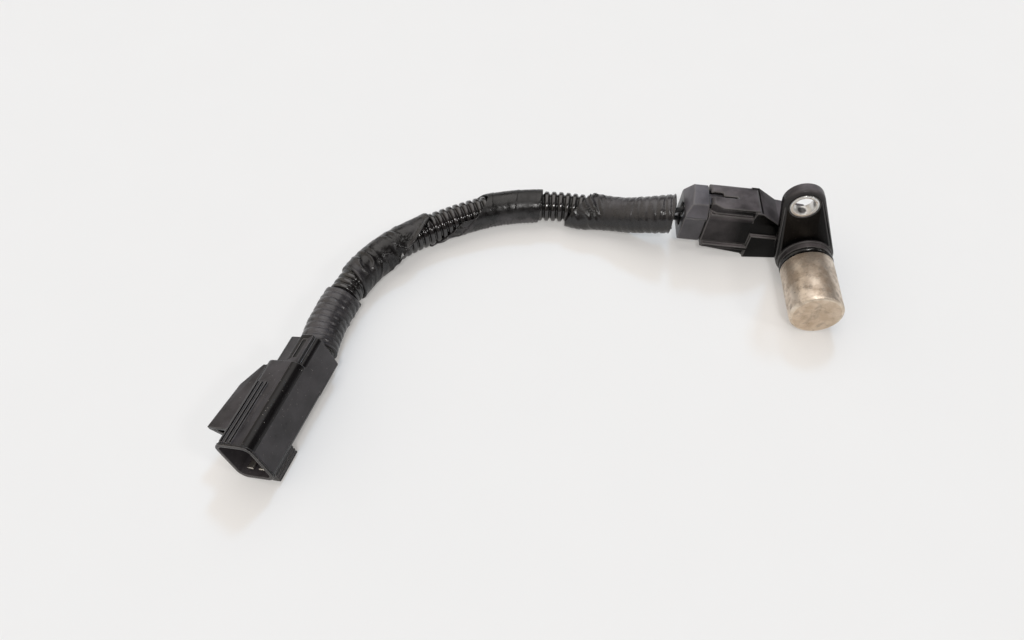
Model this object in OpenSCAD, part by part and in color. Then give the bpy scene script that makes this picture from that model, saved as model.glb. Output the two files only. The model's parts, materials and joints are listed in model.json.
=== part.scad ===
// Inductive crankshaft position sensor with its mated plug, taped loom and tail connector.
// Origin on the probe axis where the can leaves its collar. The probe points along -Y, +Z is up,
// and the part lies on its can, at can_d / 2 below the origin.

/* [Probe] */
// Diameter of the drawn metal can
can_d = 17.6; // [17:0.1:20]
// Length of can that stands out of the collar
can_len = 20; // [17:0.5:26]
// Wall of the can
can_wall = 0.6; // [0.4:0.1:0.8]
// Outer rounding of the can's closed end
can_edge_r = 1; // [0.8:0.1:1.6]
// Length of the plastic collar between the ear and the can
collar_len = 4.6; // [4:0.1:6]
// Thickness of the O-ring
o_ring_cord = 1.6; // [1.2:0.1:2]
// Diameter of the iron pole piece
pole_d = 5; // [4:0.5:6]
// Diameter of the magnet behind the pole piece
magnet_d = 9; // [7:0.5:9]
// Thickness of the magnet
magnet_t = 4.2; // [3:0.2:5]

/* [Mounting ear] */
// Distance from the probe axis to the bolt hole
ear_reach = 25.4; // [22:0.5:30]
// Thickness of the ear
ear_t = 4; // [3:0.5:6]
// Radius of the ear's round end
ear_end_r = 6.7; // [6.4:0.1:9]
// Radius of the flange around the probe
flange_r = 9.6; // [9.4:0.1:11]
// Rounding of the ear's front edge
ear_edge_r = 1.4; // [0.6:0.1:1.8]
// Lean of the ear to the left of upright, in degrees
ear_clock = 14; // [0:1:25]
// Bore of the steel bush in the bolt hole
bush_bore_d = 6.8; // [6.2:0.1:7.4]
// Wall of the bush
bush_wall = 1.2; // [0.8:0.1:1.6]

/* [Head and socket] */
// Radius of the round head behind the ear
head_r = 8.6; // [8:0.1:9]
// Length of the head behind the ear
head_len = 11; // [8:0.5:14]
// Distance of the connector's axis behind the seat plane
connector_y = 15.8; // [15:0.2:18]
// Rise of the connector's outer end, in degrees
connector_clock = 6; // [0:1:10]
// Distance from the probe axis to the socket's mouth
socket_reach = 34; // [33:0.5:38]
// Depth of the socket from its floor to its mouth
socket_depth = 17; // [16:0.5:18]
// Width of the socket
socket_w = 13; // [12:0.1:15]
// Height of the socket
socket_h = 13.6; // [13:0.1:16]
// Wall of the socket
socket_wall = 1.4; // [1.2:0.1:1.6]
// Height of the latch cover above the socket
cover_h = 3.6; // [2.8:0.1:4.5]
// Distance between the two terminals
pin_pitch = 5; // [4.8:0.1:5.2]
// Width of a terminal blade
pin_w = 2.2; // [1.6:0.1:2.4]
// Thickness of a terminal blade
pin_t = 0.7; // [0.5:0.1:0.8]

/* [Plug] */
// Length of the plug that stands out of the socket
plug_rear_len = 7.6; // [7:0.2:12]
// Height of the hood over the plug's rear
hood_h = 3.6; // [2.6:0.1:4.5]
// Width of the latch arm
latch_w = 5.2; // [4:0.1:5.6]
// Diameter of a wire over its insulation
wire_d = 1.8; // [1.4:0.1:2]

/* [Loom] */
// Outer diameter of the corrugated conduit
conduit_d = 10.6; // [9.5:0.1:11.5]
// Wall of the conduit
conduit_wall = 0.9; // [0.6:0.1:1.2]
// Thickness of a wrap of tape
tape_t = 0.7; // [0.4:0.1:1]

/* [Tail connector] */
// Width of the tail housing
tail_w = 13.4; // [13:0.2:15]
// Height of the tail housing
tail_h = 16.2; // [15:0.2:18]
// Wall of the tail housing
tail_wall = 1; // [0.8:0.1:1.4]
// Length of the wide front of the tail housing
tail_front_len = 31.5; // [28:0.5:36]
// Length of the narrow rear of the tail housing
tail_rear_len = 11; // [10.5:0.5:15]
// Depth of the open socket in the tail housing
tail_depth = 20; // [17:0.5:22]
// Reach of the lock hood to the side of the tail housing
tail_hood_reach = 6.6; // [5:0.2:8]
// Length of the lock hood
tail_hood_len = 24; // [20:0.5:24.5]
// Lean of the tail housing about its own axis, in degrees
tail_roll = 20; // [10:1:30]
// Heading of the tail housing to the left of the probe's direction, in degrees
tail_heading = 17; // [14:1:20]

/* [Fit] */
// Clearance between pieces that seat in each other
fit = 0.04; // [0.02:0.01:0.08]

/* [Hidden] */
$fn = 48;
cut = 0.5;
plastic = [0.10, 0.10, 0.11];
rubber = [0.06, 0.06, 0.06];
steel = [0.72, 0.70, 0.66];
brass = [0.80, 0.66, 0.36];

// Probe, measured from the seat plane towards the tip
can_r = can_d / 2;
tip_z = collar_len + can_len;
spigot_r = can_r - can_wall - fit;
spigot_end = collar_len + 4;
collar_r = can_r - 0.3;
o_ring_r = can_r - o_ring_cord / 2 + 0.15;
o_ring_z = collar_len - 1.5;
o_ring_groove = o_ring_cord / 2 + 0.1;
shoulder_r = o_ring_r + o_ring_cord / 2 + 0.05;
shoulder_t = 0.5;
cavity_end = tip_z - can_wall;
magnet_end = spigot_end + fit + magnet_t;
pole_head_t = 1.5;
pole_head_end = magnet_end + pole_head_t;
spool_r = spigot_r;
spool_flange_t = 1;
spool_hub_r = pole_d / 2 + 1.1;
coil_inset = 1;
cup_r = spigot_r - 0.8;

// Socket and plug, in the connector's own frame: x to the front, y up, z outwards
mouth_u = socket_reach;
socket_u = socket_reach - socket_depth;
cover_top = socket_h / 2 + cover_h;
bore_w = socket_w - 2 * socket_wall;
bore_h = socket_h - 2 * socket_wall;
socket_r = 2;
nose_gap = 0.2;
nose_w = bore_w - 2 * nose_gap;
nose_h = bore_h - 2 * nose_gap;
nose_u = socket_u + socket_wall + 0.4;
plug_u = mouth_u + nose_gap;
plug_end = plug_u + plug_rear_len;
strip_u = 5.2;
blade_len = 10;
cell = pin_w + 1.0;
cell_u = nose_u + 1.2;
receptacle_len = 11;
crimp_r = wire_d / 2 + 0.45;
crimp_end = cell_u + receptacle_len + 3.6;
wire_seal_r = 2.2;
wire_seal_u = plug_end - 6.2;
wire_seal_len = 5.2;
seal_u = mouth_u - 5.4;
seal_len = 3.2;
seal_depth = 0.5;
latch_y = socket_h / 2 + 0.7;
latch_t = 1;
cover_t = 1.2;
cover_u = mouth_u - 0.6;
hood_ledge = 0.7;
cover_lip = 1;
cover_chamfer = [2.4, 1];
slot_len = 9;
slot_w = 0.6;
notch_len = 4.2;
notch_w = 2.2;
corner_cut = [2.2, 3.6];
latch_tip_u = socket_u + 6.4;
bump_u = latch_tip_u + 2.4;
rail_drop = 4;
rail_t = 1.6;
rail_out = 1.2;

// Tail connector, in its own frame: x right and y up seen from its mouth, z out of the mouth
tail_mouth = [-173.2, -80.7, 0.7];
tail_len = tail_front_len + tail_rear_len;
tail_r = 3;
tail_pitch = 4.4;
tail_pin_x = -0.2;
tail_pin_y = -4.6;
tail_tab = [-1.2, -0.5];
tail_pin_tip = -1.5;
tail_floor = -tail_depth;
tail_rear_w = tail_w - 1.6;
tail_rear_h = tail_h - 2.6;
tail_rear_x = (tail_w - tail_rear_w) / 2;
tail_rear_y = -0.6;
tail_seal_r = wire_seal_r - 0.1;
tail_seal_len = 5;
tail_seal_end = -tail_len + tail_seal_len + 1.6;
tail_crimp = [tail_seal_end + 0.6, tail_seal_end + 4.2];
tail_rail_len = 10.6;
rib_x = [0.6, 5.2];
retainer_x = [2.2, 3.6];
tail_hood_z = -6;
tail_guide_len = 23;
guide_x = [-4.2, -2.5, -0.8];
guide_w = 0.5;
guide_h = 0.8;
guide_inset = 1;

// Loom route from the plug to the tail housing
route = [
    [-44.6, 20.2, 4.2], [-50, 20.8, 3.2], [-56, 22.2, 1.2], [-62, 24.4, -0.9],
    [-68.5, 26.8, -2.3], [-77, 28.6, -2.7], [-84, 29.3, -2.7], [-90.5, 29.4, -2.7],
    [-97, 29, -2.7], [-103.5, 27.9, -2.7], [-109.5, 26.2, -2.7], [-116, 23.5, -2.7],
    [-122.5, 20.2, -2.7], [-129, 16.3, -2.7], [-135.5, 11.8, -2.7], [-141, 7.2, -2.7],
    [-145.8, 2, -2.7], [-149.6, -3.6, -2.7], [-152.6, -9.4, -2.7], [-155, -15.4, -2.7],
    [-157, -21.6, -2.7], [-158.6, -27.8, -2.7], [-159.6, -33.6, -2.7], [-159.8, -38.6, -2.7]
];
// First and last route points under each wrap of tape
tape_spans = [[0, 5], [7, 10], [14, 18], [19, 23]];
conduit_sides = 12;
wire_sides = 8;
wire_offset = 1.3;

// Frames

module probe_axis() { translate([0, collar_len, 0]) rotate([90, 0, 0]) children(); }

module ear_axis() {
    translate([0, collar_len, 0]) rotate([0, -ear_clock, 0]) rotate([90, 0, 0]) children();
}

module connector_axis() {
    rotate([0, connector_clock, 0]) translate([0, collar_len + connector_y, 0]) rotate([90, 0, -90])
        children();
}

module tail_axis() {
    translate(tail_mouth) rotate([90, 0, -tail_heading]) rotate([0, 0, tail_roll]) children();
}

// A point of the connector's frame, or of the tail's frame, in the part's frame
function connector_point(x, y, z) = [
    -z * cos(connector_clock) + y * sin(connector_clock),
    collar_len + connector_y - x,
    z * sin(connector_clock) + y * cos(connector_clock)
];
function tail_point(x, y, z) = let (
    right = x * cos(tail_roll) - y * sin(tail_roll),
    up = x * sin(tail_roll) + y * cos(tail_roll)
) tail_mouth + [
    right * cos(tail_heading) - z * sin(tail_heading),
    -right * sin(tail_heading) - z * cos(tail_heading),
    up
];

// Shared shapes

module rounded_rect(w, h, r) {
    square([w - 2 * r, h], center = true);
    square([w, h - 2 * r], center = true);
    for (x = [-1, 1], y = [-1, 1]) translate([x * (w / 2 - r), y * (h / 2 - r)]) circle(r);
}

module rounded_bar(w, h, r, z0, z1) {
    translate([0, 0, z0]) linear_extrude(z1 - z0) rounded_rect(w, h, r);
}

module block(x, y, z) {
    translate([x[0], y[0], z[0]]) cube([x[1] - x[0], y[1] - y[0], z[1] - z[0]]);
}

// A profile drawn as [z, y] points and given a width along x
module side_profile(x, points) {
    translate([x[1], 0, 0]) rotate([0, -90, 0]) linear_extrude(x[1] - x[0]) polygon(points);
}

module ring(outer_r, inner_r, z0, z1) {
    translate([0, 0, z0]) difference() {
        cylinder(r = outer_r, h = z1 - z0);
        translate([0, 0, -cut]) cylinder(r = inner_r, h = z1 - z0 + 2 * cut);
    }
}

// Sweep of a tube along points

function unit(v) = v / norm(v);
function tangent(points, i) = unit(
    points[min(i + 1, len(points) - 1)] - points[max(i - 1, 0)]
);
function side_of(t) = unit(cross(t, [0, 0, 1]));
function ring_points(points, i, r, sides) = let (
    t = tangent(points, i),
    s = side_of(t),
    u = cross(s, t)
) [for (k = [0 : sides - 1]) let (a = 360 * k / sides) points[i] + r * (cos(a) * s + sin(a) * u)];
function sweep_points(points, r, sides, first, last) = [
    for (i = [first : last]) each ring_points(points, i, r, sides)
];
function wall_faces(rings, sides, base, flip) = [
    for (i = [0 : rings - 2], k = [0 : sides - 1]) let (
        a = base + i * sides + k,
        b = base + i * sides + (k + 1) % sides
    ) flip ? [a, a + sides, b + sides, b] : [a, b, b + sides, a + sides]
];

// Solid tube along every point
module swept_rod(points, r, sides) {
    rings = len(points);
    polyhedron(
        sweep_points(points, r, sides, 0, rings - 1),
        concat(
            wall_faces(rings, sides, 0, true),
            [[for (k = [0 : sides - 1]) k]],
            [[for (k = [sides - 1 : -1 : 0]) (rings - 1) * sides + k]]
        )
    );
}

// Hollow tube along the points from first to last
module swept_sleeve(points, outer_r, inner_r, sides, first, last) {
    rings = last - first + 1;
    base = rings * sides;
    end = (rings - 1) * sides;
    polyhedron(
        concat(
            sweep_points(points, outer_r, sides, first, last),
            sweep_points(points, inner_r, sides, first, last)
        ),
        concat(
            wall_faces(rings, sides, 0, true),
            wall_faces(rings, sides, base, false),
            [for (k = [0 : sides - 1]) let (n = (k + 1) % sides) [k, n, base + n, base + k]],
            [for (k = [0 : sides - 1]) let (n = (k + 1) % sides)
                [end + n, end + k, base + end + k, base + end + n]]
        )
    );
}

// Sensor

// Ear outline: two rounds and their common tangents
module ear_outline() {
    lean = asin((flange_r - ear_end_r) / ear_reach);
    circle(flange_r);
    translate([0, ear_reach]) circle(ear_end_r);
    polygon([
        [flange_r * cos(lean), flange_r * sin(lean)],
        [ear_end_r * cos(lean), ear_reach + ear_end_r * sin(lean)],
        [-ear_end_r * cos(lean), ear_reach + ear_end_r * sin(lean)],
        [-flange_r * cos(lean), flange_r * sin(lean)]
    ]);
}

// What a rounded edge takes off a corner at [r, 0]
module edge_profile(r) {
    difference() {
        translate([r - ear_edge_r, -ear_edge_r]) square(ear_edge_r + cut);
        translate([r - ear_edge_r, -ear_edge_r]) circle(ear_edge_r);
    }
}

// Plate of the ear with its front edge rounded along both ends and both tangents
module ear() {
    lean = asin((flange_r - ear_end_r) / ear_reach);
    side_len = ear_reach * cos(lean);
    difference() {
        translate([0, 0, -ear_t]) linear_extrude(ear_t) ear_outline();
        translate([0, ear_reach, 0]) rotate([0, 0, lean]) rotate_extrude(angle = 180 - 2 * lean)
            edge_profile(ear_end_r);
        rotate([0, 0, 180 - lean]) rotate_extrude(angle = 180 + 2 * lean) edge_profile(flange_r);
        for (side = [0, 1]) mirror([side, 0, 0]) rotate([0, 0, lean]) translate([0, side_len + cut, 0])
            rotate([90, 0, 0]) linear_extrude(side_len + 2 * cut) edge_profile(flange_r);
    }
}

// One terminal strip: a leg along the probe bent into a blade in the socket
module terminal_strip(side, grow) {
    w = pin_w / 2 + grow;
    t = pin_t / 2 + grow;
    y = side * pin_pitch / 2;
    back = connector_y + spigot_end + 1.6;
    connector_axis() {
        block([-t, back + grow], [y - w, y + w], [strip_u - grow, strip_u + pin_t + grow]);
        block([-t, t], [y - w, y + w], [strip_u - grow, socket_u + socket_wall + blade_len]);
    }
}

module neck() {
    half = socket_w / 2;
    low = -socket_h / 2;
    side_profile([-half, half], [
        [-2, low], [socket_u + socket_wall, low],
        [socket_u + socket_wall, cover_top - 0.6], [socket_u - 1, cover_top - 0.6],
        [head_r + 0.4, socket_h / 2 - 1.4], [-2, socket_h / 2 - 2.4]
    ]);
    // Foot under the head, down to the level of the can
    block([-2, half + 1.2], [low - rail_drop, 0], [-2, socket_u + 0.8]);
}

// Cover over the latch, with a tunnel for the arm and a stepped slot that shows it
module latch_cover() {
    low = socket_h / 2;
    roof = cover_top - cover_t;
    tunnel = latch_w / 2 + 0.4;
    back = -socket_w / 2 + 0.2;
    front = socket_w / 2 - 0.5;
    difference() {
        side_profile([back, front], [
            [socket_u, low - 1], [cover_u, low - 1], [cover_u, cover_top - 0.8], [cover_u - 0.8, cover_top],
            [socket_u, cover_top]
        ]);
        // Chamfer along the back of the roof
        translate([0, 0, socket_u - cut]) linear_extrude(cover_u - socket_u + 2 * cut) polygon([
            [back - cut, cover_top - cover_chamfer[1]], [back, cover_top - cover_chamfer[1]],
            [back + cover_chamfer[0], cover_top], [back + cover_chamfer[0], cover_top + cut],
            [back - cut, cover_top + cut]
        ]);
        block([-tunnel, tunnel], [low, roof], [socket_u + 2, cover_u + cut]);
        block([slot_w - notch_w, slot_w], [roof - cut, cover_top + cut],
            [cover_u - notch_len, cover_u + cut]);
        block([0, slot_w], [roof - cut, cover_top + cut], [cover_u - slot_len, cover_u - notch_len + cut]);
        // Corner cut off beside the mouth
        translate([0, cover_top + cut, 0]) rotate([90, 0, 0]) linear_extrude(cover_h + cut) polygon([
            [front - corner_cut[0], cover_u], [front - corner_cut[0], cover_u + cut],
            [front + cut, cover_u + cut], [front + cut, cover_u - corner_cut[1]],
            [front, cover_u - corner_cut[1]]
        ]);
        // Front face set back under the roof
        block([front - cover_lip, socket_w], [low, roof], [socket_u - cut, cover_u + cut]);
    }
}

module socket_shell() {
    difference() {
        rounded_bar(socket_w, socket_h, socket_r, socket_u, mouth_u);
        rounded_bar(bore_w, bore_h, socket_r - 0.8, socket_u + socket_wall, mouth_u + cut);
    }
    latch_cover();
    // Ramp that the latch hooks behind
    side_profile([-latch_w / 2 + 0.6, latch_w / 2 - 0.6], [
        [bump_u, socket_h / 2 - 0.5], [bump_u + 2.6, socket_h / 2 - 0.5], [bump_u + 2.4, socket_h / 2],
        [bump_u, socket_h / 2 + 0.55]
    ]);
    // Mounting rail along the lower front edge, with a wedge under it
    low = -socket_h / 2;
    half = socket_w / 2;
    block([half - 3, half + rail_out], [low + 1 - rail_t, low + 1], [socket_u, cover_u]);
    side_profile([-1, half - 0.4], [
        [socket_u, low + 1], [cover_u, low + 1], [cover_u, low - rail_drop / 2], [socket_u, low - rail_drop]
    ]);
}

module sensor_body() {
    color(plastic) difference() {
        union() {
            ear_axis() ear();
            probe_axis() {
                translate([0, 0, -ear_t]) cylinder(r = collar_r, h = ear_t + collar_len);
                translate([0, 0, -ear_t]) cylinder(r = shoulder_r, h = ear_t + shoulder_t);
                cylinder(r = spigot_r, h = spigot_end);
                translate([0, 0, -ear_t - head_len + 1.5]) cylinder(r = head_r, h = head_len);
                translate([0, 0, -ear_t - head_len]) cylinder(r1 = head_r - 1.5, r2 = head_r, h = 1.5);
            }
            connector_axis() {
                neck();
                socket_shell();
            }
        }
        // Groove of the O-ring
        probe_axis() ring(can_r + 2, o_ring_r - o_ring_cord / 2,
            o_ring_z - o_ring_groove, o_ring_z + o_ring_groove);
        // Seat of the bush
        ear_axis() translate([0, ear_reach, -ear_t - cut])
            cylinder(d = bush_bore_d + 2 * bush_wall + 2 * fit, h = ear_t + 2 * cut);
        // Flat that lies level with the can
        flat_w = 2 * mouth_u + 2 * socket_w;
        translate([-flat_w / 2, -spigot_end, -can_r - socket_h]) cube([flat_w, flat_w, socket_h]);
        for (side = [-1, 1]) terminal_strip(side, fit);
    }
}

module probe_can() {
    inner_edge = can_edge_r - can_wall;
    color([0.66, 0.61, 0.54]) probe_axis() rotate_extrude() difference() {
        union() {
            translate([0, collar_len]) square([can_r, can_len - can_edge_r]);
            translate([0, collar_len]) square([can_r - can_edge_r, can_len]);
            translate([can_r - can_edge_r, tip_z - can_edge_r]) circle(can_edge_r);
        }
        translate([-can_r, collar_len - cut]) square([2 * can_r - can_wall, can_len - can_edge_r + cut]);
        translate([-can_r, collar_len - cut]) square([2 * can_r - can_edge_r, can_len - can_wall + cut]);
        translate([can_r - can_edge_r, tip_z - can_edge_r]) circle(inner_edge);
        translate([-can_r, 0]) square([can_r, tip_z + 1]);
    }
}

module o_ring() {
    color(rubber) probe_axis() translate([0, 0, o_ring_z]) rotate_extrude()
        translate([o_ring_r, 0]) circle(d = o_ring_cord, $fn = 24);
}

module ear_bush() {
    color(steel) ear_axis() translate([0, ear_reach, 0])
        ring(bush_bore_d / 2 + bush_wall, bush_bore_d / 2, -ear_t, 0);
}

module pole_piece() {
    color(steel) probe_axis() {
        translate([0, 0, magnet_end + fit]) cylinder(d = magnet_d, h = pole_head_t - fit);
        translate([0, 0, magnet_end + fit]) cylinder(d = pole_d, h = cavity_end - magnet_end - 2 * fit);
    }
}

module magnet() {
    color([0.35, 0.35, 0.38]) probe_axis() translate([0, 0, spigot_end + fit])
        cylinder(d = magnet_d, h = magnet_t);
}

module bobbin() {
    bore_r = pole_d / 2 + fit;
    back = pole_head_end + fit;
    front = cavity_end - fit;
    color([0.85, 0.82, 0.74]) difference() {
        probe_axis() {
            ring(cup_r, magnet_d / 2 + fit, spigot_end + fit, back);
            ring(spool_r, bore_r, back, back + spool_flange_t);
            ring(spool_hub_r, bore_r, back, front);
            ring(spool_r - can_edge_r + can_wall, bore_r, front - spool_flange_t, front);
        }
        for (side = [-1, 1]) terminal_strip(side, fit);
    }
}

module coil() {
    color([0.72, 0.38, 0.20]) probe_axis() ring(spool_r - coil_inset, spool_hub_r + fit,
        pole_head_end + 2 * fit + spool_flange_t, cavity_end - 2 * fit - spool_flange_t);
}

module terminal_upper() { color(brass) terminal_strip(1, 0); }

module terminal_lower() { color(brass) terminal_strip(-1, 0); }

// Plug

// Outline of the plug's rear: a block under a hood with sloped sides
module plug_rear_outline() {
    half = socket_w / 2;
    top = socket_h / 2 + hood_h;
    low = -socket_h / 2 - 0.6;
    wall = half - hood_ledge;
    ledge = socket_h / 2 - 1.6;
    polygon([
        [-half, low + 1], [-half + 1, low], [wall - 1, low], [wall, low + 1],
        [wall, ledge - 1.6], [half + 0.2, ledge - 0.8], [half + 0.2, ledge],
        [half - 2.4, top - 1.2], [-half + 4.6, top], [-half + 2, top], [-half, socket_h / 2 - 1.8]
    ]);
}

module plug_latch() {
    top = latch_y + latch_t;
    side_profile([-latch_w / 2, latch_w / 2], [
        [latch_tip_u, latch_y - 0.5], [bump_u - 0.3, latch_y - 0.5], [bump_u - 0.3, latch_y],
        [plug_u + 1, latch_y], [plug_u + 1, top], [latch_tip_u + 0.8, top]
    ]);
}

module plug_housing() {
    color(plastic) connector_axis() difference() {
        union() {
            rounded_bar(nose_w, nose_h, socket_r - 1, nose_u, plug_u + cut);
            intersection() {
                translate([0, 0, plug_u]) linear_extrude(plug_rear_len) plug_rear_outline();
                side_profile([-socket_w, socket_w], [
                    [plug_u, -socket_h], [plug_end, -socket_h], [plug_end, socket_h / 2 - 0.8],
                    [plug_end - 2.6, socket_h / 2 + hood_h], [plug_u, socket_h / 2 + hood_h]
                ]);
            }
            plug_latch();
        }
        // Groove of the ring seal
        difference() {
            rounded_bar(bore_w + 2, bore_h + 2, socket_r, seal_u, seal_u + seal_len);
            seal_core(0);
        }
        // Slot of the terminal retainer
        retainer_slot(fit);
        // Cells of the terminals and bores of the wire seals
        for (side = [-1, 1]) translate([0, side * pin_pitch / 2, 0]) {
            half = cell / 2 + fit;
            block([-half, half], [-half, half], [cell_u, crimp_end]);
            block([-pin_t, pin_t], [-pin_w / 2 - 0.3, pin_w / 2 + 0.3], [nose_u - cut, cell_u + cut]);
            translate([0, 0, crimp_end - cut])
                cylinder(r = wire_seal_r, h = plug_end - crimp_end + 2 * cut);
        }
    }
}

module retainer_slot(grow) {
    low = -nose_h / 2;
    block([-2.6 - grow, 2.6 + grow], [low - (grow > 0 ? cut : 0), low + 0.5 + grow],
        [cell_u + 3 - grow, cell_u + 6 + grow]);
}

module plug_retainer() { color([0.55, 0.55, 0.52]) connector_axis() retainer_slot(0); }

// Core of the nose inside the ring seal
module seal_core(grow) {
    w = nose_w - 2 * seal_depth + 2 * grow;
    h = nose_h - 2 * seal_depth + 2 * grow;
    rounded_bar(w, h, socket_r - 1.2, seal_u - cut, seal_u + seal_len + cut);
}

module plug_seal() {
    w = bore_w - 2 * fit;
    h = bore_h - 2 * fit;
    color(rubber) connector_axis() difference() {
        rounded_bar(w, h, socket_r - 0.8, seal_u + fit, seal_u + seal_len - fit);
        seal_core(fit);
    }
}

// Box terminal that grips a blade, with its crimp barrel
module receptacle(side) {
    box_end = cell_u + receptacle_len;
    slot_w = pin_w / 2 + 0.15;
    color(brass) connector_axis() translate([0, side * pin_pitch / 2, 0]) difference() {
        union() {
            block([-cell / 2, cell / 2], [-cell / 2, cell / 2], [cell_u + fit, box_end]);
            translate([0, 0, box_end - cut]) cylinder(r = crimp_r, h = crimp_end - box_end + cut - fit);
        }
        block([-pin_t, pin_t], [-slot_w, slot_w], [cell_u - cut, box_end - 1.2]);
        translate([0, 0, box_end + 0.4]) cylinder(d = wire_d + 2 * fit, h = crimp_end - box_end);
    }
}

module receptacle_upper() { receptacle(1); }

module receptacle_lower() { receptacle(-1); }

// Ribbed rubber sleeve that seals a wire in its bore
module wire_seal(bore_r, length) {
    rib = length * 0.2;
    color([0.42, 0.20, 0.14]) difference() {
        union() {
            cylinder(r = bore_r - 0.5, h = length);
            for (k = [0 : 2]) translate([0, 0, rib * (0.4 + 1.5 * k)]) cylinder(r = bore_r - fit, h = rib);
        }
        translate([0, 0, -cut]) cylinder(d = wire_d + 2 * fit, h = length + 2 * cut);
    }
}

module plug_wire_seal(side) {
    connector_axis() translate([0, side * pin_pitch / 2, wire_seal_u])
        wire_seal(wire_seal_r, wire_seal_len);
}

module plug_wire_seal_upper() { plug_wire_seal(1); }

module plug_wire_seal_lower() { plug_wire_seal(-1); }

// Loom

function wire_route(side) = let (last = len(route) - 1) concat(
    [
        connector_point(0, side * pin_pitch / 2, crimp_end - 2.6),
        connector_point(0, side * pin_pitch / 2, plug_end - 0.4)
    ],
    [for (i = [0 : last]) route[i] + side * wire_offset * wire_side(i / last, tangent(route, i))],
    [
        tail_point(tail_pin_x - side * tail_pitch / 2, tail_pin_y, -tail_len + 0.4),
        tail_point(tail_pin_x - side * tail_pitch / 2, tail_pin_y, tail_crimp[1] - 0.6)
    ]
);
// The wires lie one above the other at the plug and turn side by side towards the tail
function wire_side(share, t) = let (s = side_of(t), a = 90 * share) cos(a) * cross(s, t) + sin(a) * s;

module wire(side) { color([0.15, 0.15, 0.16]) swept_rod(wire_route(side), wire_d / 2, wire_sides); }

module wire_upper() { wire(1); }

module wire_lower() { wire(-1); }

module conduit() {
    color([0.13, 0.13, 0.13])
        swept_sleeve(route, conduit_d / 2, conduit_d / 2 - conduit_wall, conduit_sides, 0, len(route) - 1);
}

module tape_wrap(k) {
    inner_r = conduit_d / 2 + fit;
    color([0.08, 0.08, 0.08])
        swept_sleeve(route, inner_r + tape_t, inner_r, conduit_sides, tape_spans[k][0], tape_spans[k][1]);
}

module tape_wrap_1() { tape_wrap(0); }

module tape_wrap_2() { tape_wrap(1); }

module tape_wrap_3() { tape_wrap(2); }

module tape_wrap_4() { tape_wrap(3); }

// Tail connector

// Hood beside the housing that shields the mating lock: a web on a slanted wall
module tail_hood() {
    x0 = -tail_w / 2 - tail_hood_reach;
    x1 = -tail_w / 2 + 1;
    top = tail_h / 2 - 0.6;
    low = top - tail_hood_reach;
    back = tail_hood_z - tail_hood_len;
    web = 1.2;
    difference() {
        translate([0, 0, back]) linear_extrude(tail_hood_len) difference() {
            polygon([[x1, top], [x0, top], [x0, top - web], [x1, low - web]]);
            polygon([[x1 + 2, top - web], [x0 + 2 * web, top - web], [x1 + 2, low - 0.6]]);
        }
        // Outer edge drawn in and cut off towards the rear
        translate([x0, 0, back]) rotate([90, 0, 0]) linear_extrude(4 * tail_h, center = true) polygon([
            [-cut, -cut], [tail_hood_reach, -cut], [tail_hood_reach / 3, tail_hood_len / 3],
            [0, tail_hood_len + cut], [-cut, tail_hood_len + cut]
        ]);
    }
}

// Mounting rail under the right side, near the mouth
module tail_rail() {
    x = tail_w / 2 - 1.1;
    y = -tail_h / 2;
    z = -1.6;
    difference() {
        block([x - 3.1, x], [y - 3, y + 1], [z - tail_rail_len, z]);
        // Lines along the rail's outer face
        for (k = [0, 1]) {
            line = y - 1 - 1.2 * k;
            block([x - 0.35, x + cut], [line, line + 0.5], [z - tail_rail_len - cut, z + cut]);
        }
    }
}

// Slot of the retainer in the rear's rib
module tail_retainer_slot(x, y, grow) {
    block([x[0] - grow, x[1] + grow], y, [-tail_len + 2 - grow, -tail_front_len - 2 + grow]);
}

// Places of the two pins
module at_tail_pin(side) { translate([tail_pin_x + side * tail_pitch / 2, tail_pin_y, 0]) children(); }

module tail_housing() {
    top = tail_h / 2;
    color(plastic) tail_axis() difference() {
        union() {
            rounded_bar(tail_w, tail_h, tail_r, -tail_front_len, 0);
            translate([tail_rear_x, tail_rear_y, 0])
                rounded_bar(tail_rear_w, tail_rear_h, tail_r - 1.5, -tail_len, -tail_front_len + 1);
            // Rib that carries the retainer
            block(rib_x, [0, top - 0.6], [-tail_len, -tail_front_len + 1]);
            tail_hood();
            // Bead around the mouth
            rounded_bar(tail_w + 0.4, tail_h + 0.4, tail_r + 0.2, -0.9, 0);
            // Guide ribs on the top
            for (x = guide_x) {
                block([x, x + guide_w], [top - 1, top + guide_h], [-tail_guide_len, -guide_inset]);
            }
            tail_rail();
        }
        // Open socket
        rounded_bar(tail_w - 2 * tail_wall, tail_h - 2 * tail_wall, tail_r - tail_wall, tail_floor, cut);
        // Bores of the pins and of the wire seals
        for (side = [-1, 1]) at_tail_pin(side) {
            block([-1.3, 1.3], [-1.3, 1.3], [tail_seal_end, tail_floor + cut]);
            translate([0, 0, -tail_len - cut])
                cylinder(r = tail_seal_r, h = tail_seal_end + tail_len + 2 * cut);
        }
        tail_retainer_slot(retainer_x, [top - 5, top], fit);
    }
}

module tail_retainer() {
    color([0.55, 0.55, 0.52]) tail_axis()
        tail_retainer_slot(retainer_x, [tail_h / 2 - 5 + fit, tail_h / 2 - 1], 0);
}

// Blade with its crimp barrel
module tail_pin(side) {
    barrel = tail_crimp[1] - tail_crimp[0];
    color(steel) tail_axis() at_tail_pin(side) difference() {
        union() {
            block([-1.1, 1.1], tail_tab, [tail_floor - 2, tail_pin_tip]);
            block([-1.2, 1.2], [-1.2, 1.2], [tail_crimp[1], tail_floor - 1]);
            translate([0, 0, tail_crimp[0]]) cylinder(r = 1.2, h = barrel + 0.2);
        }
        translate([0, 0, tail_crimp[0] - cut]) cylinder(d = wire_d + 2 * fit, h = barrel + cut - 0.2);
    }
}

module tail_pin_left() { tail_pin(-1); }

module tail_pin_right() { tail_pin(1); }

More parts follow.
